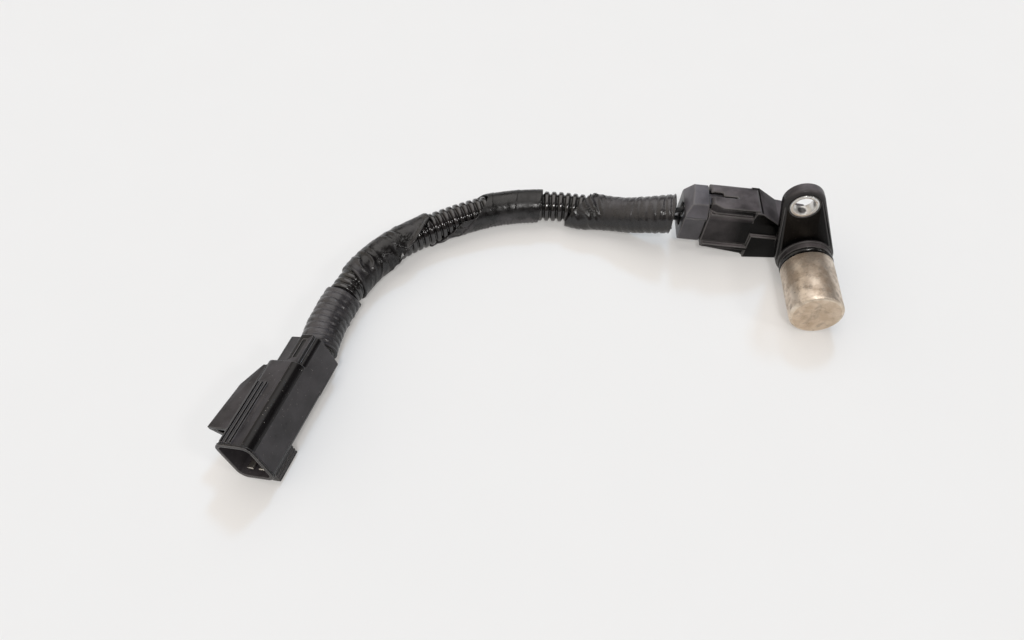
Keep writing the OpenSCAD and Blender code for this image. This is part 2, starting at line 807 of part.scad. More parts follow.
module tail_wire_seal(side) {
    tail_axis() at_tail_pin(side) translate([0, 0, tail_seal_end - tail_seal_len - 0.4])
        wire_seal(tail_seal_r, tail_seal_len);
}

module tail_wire_seal_left() { tail_wire_seal(-1); }

module tail_wire_seal_right() { tail_wire_seal(1); }

sensor_body();
probe_can();
o_ring();
ear_bush();
pole_piece();
magnet();
bobbin();
coil();
terminal_upper();
terminal_lower();
plug_housing();
plug_retainer();
plug_seal();
receptacle_upper();
receptacle_lower();
plug_wire_seal_upper();
plug_wire_seal_lower();
wire_upper();
wire_lower();
conduit();
tape_wrap_1();
tape_wrap_2();
tape_wrap_3();
tape_wrap_4();
tail_housing();
tail_retainer();
tail_pin_left();
tail_pin_right();
tail_wire_seal_left();
tail_wire_seal_right();
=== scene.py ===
# %% [markdown]
# A crankshaft position sensor lies on a white table with its lead still plugged in.
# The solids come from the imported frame. This lesson gives them their looks: rounded moulding edges,
# a corrugated conduit wound with tape, tarnished metal and satin black plastic.
# Everything is in metres, in the frame of the solids, so nothing has to be fitted afterwards.

# %% Load the frame
import json
import math

import bpy
import numpy as np
from mathutils import Matrix, Vector, noise
from mathutils.bvhtree import BVHTree


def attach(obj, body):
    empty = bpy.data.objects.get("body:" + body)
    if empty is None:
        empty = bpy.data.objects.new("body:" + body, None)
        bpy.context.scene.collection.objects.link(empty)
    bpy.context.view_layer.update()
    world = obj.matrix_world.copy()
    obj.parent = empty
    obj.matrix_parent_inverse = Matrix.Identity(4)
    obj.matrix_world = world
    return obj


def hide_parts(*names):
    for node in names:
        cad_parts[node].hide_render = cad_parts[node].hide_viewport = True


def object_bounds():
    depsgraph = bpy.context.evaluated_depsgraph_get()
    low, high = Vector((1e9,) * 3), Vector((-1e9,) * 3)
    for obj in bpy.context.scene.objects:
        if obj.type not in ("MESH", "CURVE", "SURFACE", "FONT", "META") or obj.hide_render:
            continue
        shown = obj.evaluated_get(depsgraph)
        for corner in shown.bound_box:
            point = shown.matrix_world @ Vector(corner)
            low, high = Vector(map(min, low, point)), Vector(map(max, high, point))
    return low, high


MM = 0.001
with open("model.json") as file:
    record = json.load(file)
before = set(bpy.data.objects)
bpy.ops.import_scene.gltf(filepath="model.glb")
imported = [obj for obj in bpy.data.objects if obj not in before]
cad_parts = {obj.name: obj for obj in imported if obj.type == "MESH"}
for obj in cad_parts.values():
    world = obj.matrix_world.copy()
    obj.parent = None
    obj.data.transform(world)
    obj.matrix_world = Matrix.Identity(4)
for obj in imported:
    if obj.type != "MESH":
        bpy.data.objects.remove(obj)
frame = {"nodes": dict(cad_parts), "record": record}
cad_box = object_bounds()
print("nodes in the frame:", len(frame["nodes"]))

# %% [markdown]
# The photograph looks down on the table at about 52 degrees with a slightly wide lens.
# A camera could be aimed by a Track To constraint. Writing its three axes is plainer and exact:
# its right, its up and the way it looks away from.

# %% Camera
CAMERA_AT = Vector((-92.0, -204.0, 228.7)) * MM
CAMERA_RIGHT = Vector((0.9993, 0.0369, 0.0)).normalized()
CAMERA_LOOK = Vector((-0.0227, 0.6153, -0.788)).normalized()
FOCAL_PX = 900
IMAGE_W = 1024
SENSOR_W = 36
NEAREST_SEEN = 10 * MM

bpy.ops.object.camera_add()
camera = bpy.context.object
axes = (CAMERA_RIGHT, CAMERA_RIGHT.cross(CAMERA_LOOK), -CAMERA_LOOK)
camera.matrix_world = Matrix.Translation(CAMERA_AT) @ Matrix(axes).transposed().to_4x4()
camera.data.sensor_width = SENSOR_W
camera.data.lens = SENSOR_W * FOCAL_PX / IMAGE_W
camera.data.clip_start = NEAREST_SEEN
bpy.context.scene.camera = camera
print("lens:", round(camera.data.lens, 2), "mm")

# %% [markdown]
# The lead is a stiff loom: two wires in a corrugated conduit, wound with tape in four places.
# Its route repeats the points of the solid tube. A Catmull-Rom curve through them gives a smooth
# centreline, and at every length along it there is a side and an up, so a point on the loom is a length,
# an angle and a radius. Angle 0 is the far side, 90 degrees the top and 180 degrees the near side.

# %% Centreline of the loom
ROUTE = np.array([
    [-44.6, 20.2, 4.2], [-50, 20.8, 3.2], [-56, 22.2, 1.2], [-62, 24.4, -0.9],
    [-68.5, 26.8, -2.3], [-77, 28.6, -2.7], [-84, 29.3, -2.7], [-90.5, 29.4, -2.7],
    [-97, 29, -2.7], [-103.5, 27.9, -2.7], [-109.5, 26.2, -2.7], [-116, 23.5, -2.7],
    [-122.5, 20.2, -2.7], [-129, 16.3, -2.7], [-135.5, 11.8, -2.7], [-141, 7.2, -2.7],
    [-145.8, 2, -2.7], [-149.6, -3.6, -2.7], [-152.6, -9.4, -2.7], [-155, -15.4, -2.7],
    [-157, -21.6, -2.7], [-158.6, -27.8, -2.7], [-159.6, -33.6, -2.7], [-159.8, -38.6, -2.7],
]) * MM
STEPS = 16


def smooth_curve(points, steps):
    """A Catmull-Rom curve through the points, with its ends carried on straight."""
    held = np.vstack([2 * points[0] - points[1], points, 2 * points[-1] - points[-2]])
    curve = []
    for before, start, end, after in zip(held, held[1:], held[2:], held[3:]):
        t = np.linspace(0, 1, steps, endpoint=False)[:, None]
        bend = (2 * before - 5 * start + 4 * end - after) * t ** 2
        twist = (3 * start - before - 3 * end + after) * t ** 3
        curve.append(start + 0.5 * ((end - before) * t + bend + twist))
    return np.vstack(curve + [points[-1:]])


centre = smooth_curve(ROUTE, STEPS)
run = np.append(0, np.cumsum(np.linalg.norm(np.diff(centre, axis=0), axis=1)))
ahead = np.gradient(centre, axis=0)
ahead /= np.linalg.norm(ahead, axis=1)[:, None]
side = np.cross(ahead, (0, 0, 1))
side /= np.linalg.norm(side, axis=1)[:, None]
above = np.cross(side, ahead)
LOOM_LENGTH = float(run[-1])
print("loom length:", round(LOOM_LENGTH / MM, 1), "mm")

# %% [markdown]
# Two helpers turn places on the loom into points. What would sink into the table is lifted just off it,
# so that tape and ribs lie flat underneath, as they do under the lead's weight.

# %% Places on the loom
TABLE_Z = cad_box[0].z
OFF_TABLE = 0.02 * MM


def length_at(route_index):
    """Length along the loom at one of the route's points."""
    return run[route_index * STEPS]


def on_loom(length, angle, radius):
    """Points at a length along the loom, an angle round it and a radius, never below the table."""
    def along(values):
        return np.stack([np.interp(length, run, values[:, k]) for k in range(3)], axis=-1)

    spoke = np.cos(angle)[..., None] * along(side) + np.sin(angle)[..., None] * along(above)
    points = along(centre) + (length - np.clip(length, 0, LOOM_LENGTH))[..., None] * along(ahead)
    points = points + radius[..., None] * spoke
    points[..., 2] = np.maximum(points[..., 2], TABLE_Z + OFF_TABLE)
    return points


print("the loom starts", round((centre[0][2] - TABLE_Z) / MM, 1), "mm above the table")

# %% [markdown]
# Conduit and tape are both walls round the loom: an outer skin, an inner skin and two ends.
# Each could be a curve with a bevel, but then ribs and folds would have to be bump.
# A grid of points, closed round and along, lets the radius change from place to place.
# Each wall also keeps the height of its surface, and where dust and a painted sheen lie, for its material.

# %% Walls round the loom


def activate(piece):
    """Selects one object alone, because an operator acts on all that is selected."""
    bpy.ops.object.select_all(action="DESELECT")
    piece.select_set(True)
    bpy.context.view_layer.objects.active = piece


def keep_values(mesh, name, domain, values):
    """Keeps one number for each point or each face, which a material reads by its name."""
    flat = np.asarray(values, np.float32).ravel()
    mesh.attributes.new(name, "FLOAT", domain).data.foreach_set("value", flat)


def wall_piece(name, outer, inner_radius, height, film_and_sheen=(90, 1.0), all_round=True):
    """A closed wall from a grid of outer points (length, angle, radius) and an inner radius.
    film_and_sheen is where dust and a painted sheen lie: (towards which angle in degrees, how thickly).
    A wall that does not go all round, such as a loose end of tape, gets two end caps."""
    length, angle, radius = outer
    inside = np.broadcast_to(inner_radius, radius.shape)
    points = np.concatenate([on_loom(length, angle, radius), on_loom(length, angle, inside)[::-1]])
    rows, columns = points.shape[:2]
    index = np.arange(rows * columns).reshape(rows, columns)
    beside = np.roll(index, -1, 1)
    corners = (index, beside, np.roll(beside, -1, 0), np.roll(index, -1, 0))
    quads = np.stack(corners, axis=-1)
    if all_round:
        faces = quads.reshape(-1, 4).tolist()
    else:
        faces = quads[:, :-1].reshape(-1, 4).tolist()
        faces += [index[:, 0].tolist(), index[::-1, -1].tolist()]
    mesh = bpy.data.meshes.new(name)
    mesh.from_pydata(points.reshape(-1, 3).tolist(), [], faces)
    mesh.polygons.foreach_set("use_smooth", [True] * len(mesh.polygons))
    # Lighter towards the film's side: dust, and a painted sheen of the panel above or of the table below.
    dust_and_sheen = film_and_sheen[1] * np.maximum(np.cos(angle - math.radians(film_and_sheen[0])), 0)
    keep_values(mesh, "surface", "POINT", np.concatenate([height, height[::-1]]))
    keep_values(mesh, "settled", "POINT", np.concatenate([dust_and_sheen, dust_and_sheen[::-1]]))
    piece = bpy.data.objects.new(name, mesh)
    bpy.context.scene.collection.objects.link(piece)
    activate(piece)
    bpy.ops.object.mode_set(mode="EDIT")
    bpy.ops.mesh.select_all(action="SELECT")
    bpy.ops.mesh.normals_make_consistent(inside=False)
    bpy.ops.object.mode_set(mode="OBJECT")
    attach(piece, "root")
    print(piece.name, "faces:", len(mesh.polygons))
    return piece


# %% [markdown]
# A wall starts as a grid of lengths and angles. Its ends may lean, because tape is wound slantwise, and the
# tip of a leaning end is blunted so that it is no spike. Noise over the same grid makes it uneven.

# %% Grid and noise of a wall
CONDUIT_D = 10.6 * MM
CONDUIT_R = CONDUIT_D / 2
AROUND = 72
GRID_STEP = 0.25 * MM
BLUNT_TIP = 0.8
SEED_SPACING = 37.0


def loom_grid(first, last, lean_first=(0, 0), lean_last=(0, 0)):
    """Lengths and angles of a wall. Each end may lean: (how far, towards which angle in degrees)."""
    angle = np.linspace(0, 2 * math.pi, AROUND, endpoint=False)[None, :]

    def edge(at, lean):
        return at + lean[0] * np.minimum(np.cos(angle - math.radians(lean[1])), BLUNT_TIP)

    share = np.linspace(0, 1, int((last - first) / GRID_STEP) + 1)[:, None]
    length = edge(first, lean_first) * (1 - share) + edge(last, lean_last) * share
    return length, np.broadcast_to(angle, length.shape)


def mottle(length, angle, size, seed):
    """Smooth noise from -1 to 1 over the loom's surface, with lumps of about that size."""
    x = np.cos(angle) * CONDUIT_R / size
    y = np.sin(angle) * CONDUIT_R / size
    z = length / size + SEED_SPACING * seed
    values = [noise.noise(Vector(place)) for place in zip(x.ravel(), y.ravel(), z.ravel())]
    return np.array(values).reshape(length.shape)


# %% [markdown]
# The conduit's ribs are about 2.5 mm apart, with broad round crests and narrow grooves.
# A sine pushed through tanh has broad tops, so it makes a good rib.

# %% Corrugated conduit
RIB_PITCH = 2.5 * MM
RIB_DEPTH = 1.2 * MM
RIB_BREADTH = 0.6
RIB_STEEPNESS = 1.9
CONDUIT_BORE_R = CONDUIT_R - 1.5 * MM
CONDUIT_UNEVEN = 0.06 * MM


def ribs(length):
    """1 on a rib's crest and 0 in a groove."""
    wave = np.sin(2 * math.pi * length / RIB_PITCH) + RIB_BREADTH
    return 0.5 + 0.5 * np.tanh(RIB_STEEPNESS * wave)


length, angle = loom_grid(0, LOOM_LENGTH)
crest = ribs(length)
radius = CONDUIT_R - RIB_DEPTH * (1 - crest) + CONDUIT_UNEVEN * mottle(length, angle, 6 * MM, 1)
conduit = wall_piece("loom_conduit", (length, angle, radius), CONDUIT_BORE_R, crest)
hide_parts("conduit")

# %% [markdown]
# Tape is wound tight in some places, so that the ribs show through, and has slipped into folds in others.
# Its edges run slantwise, because tape is wound in a spiral.
# Every wrap is a wall whose radius adds up four things: ribs that show through, a ridge at each turn
# of the spiral, small lumps, and folds in patches of its own.

# %% Folds and wraps of tape
TAPE_R = CONDUIT_R + 0.74 * MM
WOUND_R = TAPE_R - 0.12 * MM
TAPE_BORE_R = CONDUIT_R - 0.5 * MM
TURN_PITCH = 9 * MM
TURN_RIDGE = 0.16 * MM
TURN_FADE = 0.12
TAPE_UNEVEN = 0.12 * MM
FULL_RELIEF = 0.8 * MM


def patch(length, angle, at, reach, towards, spread):
    """A soft spot from 0 to 1, round a length and an angle in degrees."""
    far = ((length - at) / reach) ** 2
    turned = (1 - np.cos(angle - math.radians(towards))) / (1 - math.cos(math.radians(spread)))
    return np.exp(-far - turned)


def folds(length, angle, wavelength, slant, seed):
    """Sharp parallel ridges that run slantwise and wander."""
    across = length * math.cos(math.radians(slant)) + angle * TAPE_R * math.sin(math.radians(slant))
    wander = 0.6 * mottle(length, angle, 5 * MM, seed)
    wave = np.sin(2 * math.pi * (across / wavelength + wander))
    return np.maximum(wave, 0) ** 2


def tape_wrap(number, first, last, slack, show, lean_first, lean_last, film_and_sheen):
    """One wrap between two lengths. slack is a function of length and angle that gives the height of its
    folds, and show is how far the ribs come through, both in metres."""
    length, angle = loom_grid(first, last, lean_first, lean_last)
    through = show * ribs(length) * (0.6 + 0.4 * mottle(length, angle, 9 * MM, number))
    spiral = (length / TURN_PITCH - angle / (2 * math.pi)) % 1
    overlap = TURN_RIDGE * np.exp(-spiral / TURN_FADE)
    uneven = TAPE_UNEVEN * mottle(length, angle, 4 * MM, 10 + number)
    relief = through + overlap + uneven + slack(length, angle)
    outer = (length, angle, WOUND_R + relief)
    piece = wall_piece(f"loom_tape_{number}", outer, TAPE_BORE_R, relief / FULL_RELIEF, film_and_sheen)
    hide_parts(f"tape_wrap_{number}")
    return piece


# %% [markdown]
# Each wrap has its own slack. The one by the plug is crumpled and bags at its end, the next is smooth on
# top, the third is the worst, with a lifted edge, and the last one is tight on the ribs.

# %% Slack of each wrap


def slack_by_plug(length, angle):
    """Crumpled and baggy where it ends, and a little flared over the ribs at the plug."""
    end = length_at(5)
    crumple = patch(length, angle, at=end - 5 * MM, reach=5 * MM, towards=120, spread=60)
    crumple_height = 1.3 * MM * crumple * folds(length, angle, wavelength=2.6 * MM, slant=38, seed=3)
    bag = 1.4 * MM * patch(length, angle, at=end - 1 * MM, reach=8 * MM, towards=200, spread=50)
    flare = 0.5 * MM * np.exp(-length / (14 * MM))
    through = 0.40 * MM * ribs(length) * np.exp(-length / (9 * MM))
    return crumple_height + bag + flare + through


def slack_smooth(length, angle):
    """Smooth, with a few fine folds low on the near side."""
    lower = patch(length, angle, at=length_at(9), reach=14 * MM, towards=215, spread=50)
    return 0.22 * MM * lower * folds(length, angle, wavelength=1.3 * MM, slant=12, seed=5)


def slack_crumpled(length, angle):
    """Deep folds in two patches, a thick rim, and an edge that has lifted on the near side of the top."""
    first = patch(length, angle, at=length_at(15), reach=7 * MM, towards=140, spread=70)
    second = patch(length, angle, at=length_at(17), reach=6 * MM, towards=120, spread=60)
    inward = length - length[:1]
    rim = 0.3 * MM * np.exp(-((inward - 0.8 * MM) / (0.8 * MM)) ** 2)
    near_top = np.maximum(np.cos(angle - math.radians(125)), 0) ** 2
    lifted = 1.1 * MM * np.exp(-(inward / (2 * MM)) ** 2) * near_top
    deep = 1.0 * MM * first * folds(length, angle, wavelength=4.2 * MM, slant=35, seed=7)
    deep_too = 0.8 * MM * second * folds(length, angle, wavelength=3.4 * MM, slant=-20, seed=8)
    return rim + lifted + deep + deep_too


def slack_by_tail(length, angle):
    """Tight, with low folds in one patch on the near side."""
    near = patch(length, angle, at=length_at(20), reach=6 * MM, towards=200, spread=60)
    return 0.25 * MM * folds(length, angle, wavelength=4 * MM, slant=25, seed=9) * near


# Each wrap's film lies on top, or low on the near side, where it is partly a painted reflection of the
# table.
tapes = [
    tape_wrap(1, length_at(0), length_at(5), slack_by_plug, show=0.10 * MM,
              lean_first=(2 * MM, 270), lean_last=(5 * MM, 225), film_and_sheen=(90, 1.0)),
    tape_wrap(2, length_at(7), length_at(10) + 6.5 * MM, slack_smooth, show=0.08 * MM,
              lean_first=(1 * MM, 240), lean_last=(7.5 * MM, 245), film_and_sheen=(220, 2.0)),
    tape_wrap(3, length_at(14) + 2 * MM, length_at(18), slack_crumpled, show=0.05 * MM,
              lean_first=(-12.5 * MM, 55), lean_last=(2 * MM, 200), film_and_sheen=(90, 1.0)),
    tape_wrap(4, length_at(19), length_at(23), slack_by_tail, show=0.55 * MM,
              lean_first=(2 * MM, 100), lean_last=(0.5 * MM, 90), film_and_sheen=(90, 1.2)),
]

# %% [markdown]
# Where the second wrap ends, a torn strip of tape hangs on to the near side and covers some of the ribs.
# It is a wall too, but an open one: rows run across the strip and columns along it.

# %% Torn strip of tape
STRIP_WIDTH = 10 * MM
STRIP_TAPER = 0.35
STRIP_START = length_at(10) + 6 * MM
STRIP_RUN = 15 * MM
STRIP_FROM_ANGLE = 150
STRIP_TURN = 85
STRIP_LIFT = 0.3 * MM
STRIP_UNDERSIDE_R = CONDUIT_R - 0.3 * MM

share = np.linspace(0, 1, 120)[None, :]
across = np.linspace(-0.5, 0.5, 24)[:, None] * STRIP_WIDTH * (1 - STRIP_TAPER * share ** 3)
strip_length = STRIP_START + STRIP_RUN * share + across
strip_angle = np.broadcast_to(np.radians(STRIP_FROM_ANGLE + STRIP_TURN * share), strip_length.shape)
crease = 0.3 * MM * folds(strip_length, strip_angle, wavelength=3 * MM, slant=60, seed=11)
lift = STRIP_LIFT + crease + 0.25 * MM * mottle(strip_length, strip_angle, 4 * MM, 12)
strip = wall_piece("loom_tape_strip", (strip_length, strip_angle, CONDUIT_R + lift), STRIP_UNDERSIDE_R,
                   height=lift / MM, film_and_sheen=(215, 1.8), all_round=False)
tapes.append(strip)

# %% [markdown]
# Materials come next. A shader graph is arithmetic on values that change over a surface, so a small class
# lets it be written as arithmetic. A Link is one output socket, and adding or multiplying two Links adds a
# Math node.

# %% Arithmetic on sockets


class Link:
    """An output socket that takes part in Python arithmetic."""

    def __init__(self, finish, socket):
        self.finish = finish
        self.socket = socket

    def math(self, operation, first, second):
        return self.finish.node("ShaderNodeMath", {"operation": operation}, {0: first, 1: second})

    def __add__(self, other):
        return self.math("ADD", self, other)

    def __radd__(self, other):
        return self.math("ADD", other, self)

    def __sub__(self, other):
        return self.math("SUBTRACT", self, other)

    def __rsub__(self, other):
        return self.math("SUBTRACT", other, self)

    def __mul__(self, other):
        return self.math("MULTIPLY", self, other)

    def __rmul__(self, other):
        return self.math("MULTIPLY", other, self)

    def __pow__(self, other):
        return self.math("POWER", self, other)


# %% [markdown]
# A Finish is a material with one method that makes any node. The other methods are short names for the
# nodes that come up again and again: noise, ramps, mixed colours and bump.

# %% A finish and its nodes
SOCKET_NAMES = {"color": "Base Color", "rough": "Roughness", "metal": "Metallic", "normal": "Normal",
                "specular": "Specular IOR Level"}


class Finish:
    """A material or a world, its shader and the nodes that feed it."""

    def __init__(self, name, world=None):
        self.material = world or bpy.data.materials.new(name)
        self.material.use_nodes = True
        self.tree = self.material.node_tree
        self.shader = self.tree.nodes["Background" if world else "Principled BSDF"]
        self.place = self.node("ShaderNodeTexCoord", {}, {}, output="Generated" if world else "Object")

    def node(self, kind, settings, sockets, output=0):
        made = self.tree.nodes.new(kind)
        for name, value in settings.items():
            if name == "stops":
                self.set_stops(made.color_ramp, value)
            else:
                setattr(made, name, value)
        for key, value in sockets.items():
            self.feed(made.inputs[key], value)
        return Link(self, made.outputs[output])

    def feed(self, socket, value):
        if isinstance(value, Link):
            self.tree.links.new(value.socket, socket)
        else:
            socket.default_value = value

    def set_stops(self, ramp, stops):
        while len(ramp.elements) < len(stops):
            ramp.elements.new(1.0)
        for element, (position, shade) in zip(ramp.elements, stops):
            element.position = position
            element.color = (shade, shade, shade, 1)

    def noise(self, size, detail=3.0, roughness=0.55, stretch=(1, 1, 1)):
        """Noise from 0 to 1 whose lumps are about that many metres across."""
        scaled = self.node("ShaderNodeMapping", {}, {"Vector": self.place, "Scale": stretch})
        sockets = {"Vector": scaled, "Scale": 1 / size, "Detail": detail, "Roughness": roughness}
        return self.node("ShaderNodeTexNoise", {}, sockets)

    def ramp(self, value, *stops):
        """A value sent through a ramp of (position, shade) stops."""
        return self.node("ShaderNodeValToRGB", {"stops": stops}, {"Fac": value})

    def mix(self, share, first, second):
        """A colour between two, each a Link or (r, g, b)."""
        def rgba(colour):
            return colour if isinstance(colour, Link) else (*colour, 1)

        sockets = {0: share, 6: rgba(first), 7: rgba(second)}
        return self.node("ShaderNodeMix", {"data_type": "RGBA"}, sockets, output=2)

    def span(self, axis, start, end):
        """A value that goes from 0 to 1 between two places along an axis, in metres."""
        along = self.node("ShaderNodeSeparateXYZ", {}, {0: self.place}, output=axis)
        return self.node("ShaderNodeMapRange", {}, {"Value": along, "From Min": start, "From Max": end})

    def attribute(self, name):
        return self.node("ShaderNodeAttribute", {"attribute_name": name}, {}, output="Fac")

    def bump(self, height, depth, strength):
        sockets = {"Height": height, "Distance": depth, "Strength": strength}
        return self.node("ShaderNodeBump", {}, sockets)

    def surface(self, **sockets):
        """Feeds the shader and gives the finished material."""
        for key, value in sockets.items():
            self.feed(self.shader.inputs[SOCKET_NAMES[key]], value)
        return self.material


# %% [markdown]
# Black moulded plastic is never one black. A film, partly dust and partly a painted sheen of the light
# overhead, lies on the faces that look up. The raised edges are painted lighter, partly wear and partly a
# painted highlight, and the tool's fine texture breaks up the gloss. The film is left out of hollows and off
# soft corners, as painted shade.
# On the sensor's body it covers the socket too and stops short of the ear's front, which is left black as
# painted shade.

# %% Moulded plastic
SPECK_COLOR = (0.24, 0.22, 0.20)
WEAR_AND_HIGHLIGHT_COLOR = (0.15, 0.144, 0.142)
KEPT_ON_TOP = 0.8


def moulded_plastic(name, base, film_and_sheen, rough, bare=None, shine=0.45, up_facing_share=0.7, corner_shade=0, dust_and_sheen=0.1):
    """base and film_and_sheen are colours. bare, if given, is (start, end) along x: the film fades from
    start to end and beyond end most of it is gone, which leaves painted shade. up_facing_share is the share
    of the film, partly dust and partly a painted sheen, that lies only on faces that look up, corner_shade
    is the share taken off rounded corners as painted shade, and dust_and_sheen is how strongly the pale
    specks show."""
    finish = Finish(name)
    film_and_sheen_mask = finish.ramp(finish.noise(8 * MM, 4), (0.30, 0.35), (0.62, 1))
    # The film is partly dust and partly a painted sheen of the light overhead, so faces that look up are
    # painted lighter.
    settled = finish.attribute("lies_up")
    # Faces in hollows lose the film and stay black: painted shade.
    outside_hollow_shade = finish.ramp(finish.attribute("sheltered"), (0.45, 1), (0.75, 0))
    film_and_sheen_mask = film_and_sheen_mask * (1 - up_facing_share + up_facing_share * settled) * outside_hollow_shade
    # Soft corners lose the film too, as painted shade where they turn towards the dark side of the room.
    if corner_shade:
        film_and_sheen_mask = film_and_sheen_mask * (1 - corner_shade * finish.attribute("rounded"))
    # Past the shade span the film fades out, except partly on faces that look up: painted shade on the ear's
    # front.
    if bare:
        kept = KEPT_ON_TOP * settled
        film_and_sheen_mask = film_and_sheen_mask * (kept + (1 - kept) * finish.span("X", bare[1], bare[0]))
    specks = finish.ramp(finish.noise(0.6 * MM, 2), (0.70, 0), (0.75, 1))
    # Edges are painted lighter: partly wear, partly a painted highlight.
    wear_and_highlight = finish.attribute("edge")
    color = finish.mix(film_and_sheen_mask, base, film_and_sheen)
    color = finish.mix(specks * dust_and_sheen, color, SPECK_COLOR)
    color = finish.mix(wear_and_highlight * 0.45, color, WEAR_AND_HIGHLIGHT_COLOR)
    grain = finish.noise(0.16 * MM, 2)
    waves = finish.noise(5 * MM, 2)
    gloss = rough + 0.14 * film_and_sheen_mask + 0.10 * grain - 0.06 * wear_and_highlight
    normal = finish.bump(grain + 2.5 * waves, 0.02 * MM, 0.55)
    return finish.surface(color=color, rough=gloss, normal=normal, specular=shine)


# Where the body's film fades out, so that the ear's front is left black as painted shade.
EAR_SHADE_EDGE = (-27 * MM, -21 * MM)
body_plastic = moulded_plastic("body_plastic", base=(0.0012, 0.001, 0.001), film_and_sheen=(0.150, 0.134, 0.140),
                               rough=0.20, bare=EAR_SHADE_EDGE, shine=0.12)
plug_plastic = moulded_plastic("plug_plastic", base=(0.034, 0.033, 0.037), film_and_sheen=(0.140, 0.133, 0.148),
                               rough=0.22, shine=0.30)
tail_plastic = moulded_plastic("tail_plastic", base=(0.003, 0.0027, 0.003), film_and_sheen=(0.050, 0.045, 0.048),
                               rough=0.18, shine=0.25, up_facing_share=0.15, corner_shade=0.9, dust_and_sheen=0.8)
retainer_plastic = moulded_plastic("retainer_plastic", (0.008, 0.008, 0.009), (0.02, 0.02, 0.02), 0.4)
bobbin_plastic = moulded_plastic("bobbin_plastic", (0.42, 0.37, 0.29), (0.36, 0.31, 0.23), 0.45)
wire_insulation = moulded_plastic("wire_insulation", (0.006, 0.006, 0.007), (0.012, 0.011, 0.011), 0.38)
print("nodes in a moulded plastic:", len(body_plastic.node_tree.nodes))

# %% [markdown]
# The can is drawn steel that has been in an engine. Heat and oil have left brown stains in clouds and darker
# pits, and the end is tinted a warmer brown with fewer stains. The rim round the end is painted almost
# white, partly wear and partly a painted highlight. The stains are dull, the rim still shines.

# %% Tarnished can
CAN_END = (-19.3 * MM, -20 * MM)


def tarnished_steel():
    finish = Finish("can_metal")
    clouds = finish.ramp(finish.noise(5 * MM, 6, 0.62), (0.40, 0), (0.60, 1))
    stains = finish.ramp(finish.noise(3.0 * MM, 5, 0.65), (0.51, 0), (0.66, 1))
    pits = finish.ramp(finish.noise(0.7 * MM, 3, 0.6), (0.62, 0), (0.72, 1))
    drawn = finish.noise(0.5 * MM, 2, stretch=(1, 0.06, 1))
    tip = finish.span("Y", *CAN_END)
    wear_and_highlight = finish.attribute("edge")
    color = finish.mix(clouds, (0.78, 0.685, 0.585), (0.50, 0.41, 0.325))
    # The end is tinted a warmer brown, with fewer stains and pits.
    color = finish.mix(tip * 0.6, color, (0.62, 0.485, 0.350))
    # The narrow faces round the rim are painted almost white: partly wear, partly a painted highlight.
    color = finish.mix(wear_and_highlight * 0.8, color, (0.90, 0.82, 0.70))
    color = finish.mix(stains * (0.60 - 0.28 * tip), color, (0.15, 0.11, 0.08))
    color = finish.mix(pits * (0.45 - 0.40 * tip), color, (0.08, 0.06, 0.045))
    rough = 0.40 + 0.14 * clouds + 0.16 * stains - 0.24 * wear_and_highlight
    metal = 0.95 - 0.4 * stains
    normal = finish.bump(drawn - 0.6 * pits + 0.8 * clouds, 0.03 * MM, 0.5)
    return finish.surface(color=color, rough=rough, metal=metal, normal=normal)


can_metal = tarnished_steel()
print("nodes in the can's finish:", len(can_metal.node_tree.nodes))

# %% [markdown]
# The other metals are bare: clouded a little, scratched finely, and shiny. A spot low in the bush's bore is
# made dark and hardly metallic.

# %% Bare metals
DARK_SPOT_COLOR = (0.045, 0.040, 0.038)
DARK_SPOT_REACH = 2.2 * MM
DARK_SPOT_IN_BUSH = Vector((-6.1, 6.4, 21.3)) * MM


def bare_metal(name, base, dull, rough, dark_spot_at=None):
    """dark_spot_at, if given, is the middle of a dark, hardly metallic spot."""
    finish = Finish(name)
    cloud = finish.noise(1.6 * MM, 4)
    scratch = finish.noise(0.25 * MM, 2, stretch=(1, 0.12, 1))
    color = finish.mix(cloud, base, dull)
    metal = 1.0
    if dark_spot_at:
        # A dark, hardly metallic spot in the bore.
        ends = {0: finish.place, 1: dark_spot_at}
        far = finish.node("ShaderNodeVectorMath", {"operation": "DISTANCE"}, ends, output="Value")
        dark_spot = finish.ramp(far * (1 / DARK_SPOT_REACH) + 0.5 * cloud, (0.75, 1), (1.0, 0))
        color = finish.mix(dark_spot, color, DARK_SPOT_COLOR)
        metal = 1 - 0.9 * dark_spot
    normal = finish.bump(scratch + cloud, 0.012 * MM, 0.5)
    return finish.surface(color=color, rough=rough + 0.2 * cloud, metal=metal, normal=normal)


bush_metal = bare_metal("bush_metal", (0.80, 0.79, 0.77), (0.55, 0.54, 0.52), 0.20, DARK_SPOT_IN_BUSH)
soft_iron = bare_metal("soft_iron", (0.40, 0.39, 0.38), (0.26, 0.25, 0.24), 0.35)
magnet_alloy = bare_metal("magnet_alloy", (0.34, 0.34, 0.36), (0.24, 0.24, 0.25), 0.45)
enamelled_copper = bare_metal("enamelled_copper", (0.60, 0.24, 0.10), (0.42, 0.15, 0.06), 0.30)
tinned_brass = bare_metal("tinned_brass", (0.78, 0.76, 0.71), (0.60, 0.57, 0.50), 0.22)
print("nodes in a bare metal:", len(soft_iron.node_tree.nodes))

# %% [markdown]
# Rubber is duller than plastic and gathers dust. The conduit is the same black; its crests are lighter,
# partly dust and partly painted light from above, and its grooves are nearly black as painted shade. Tape is
# glossy where it is stretched, grey where dust and a painted sheen lie, with painted highlights on raised
# folds, and greyer near the plug and near the tail.

# %% Rubber, conduit and tape
GREYER_BY_PLUG = (-76 * MM, -62 * MM)
GREYER_BY_TAIL = (-4 * MM, -16 * MM)


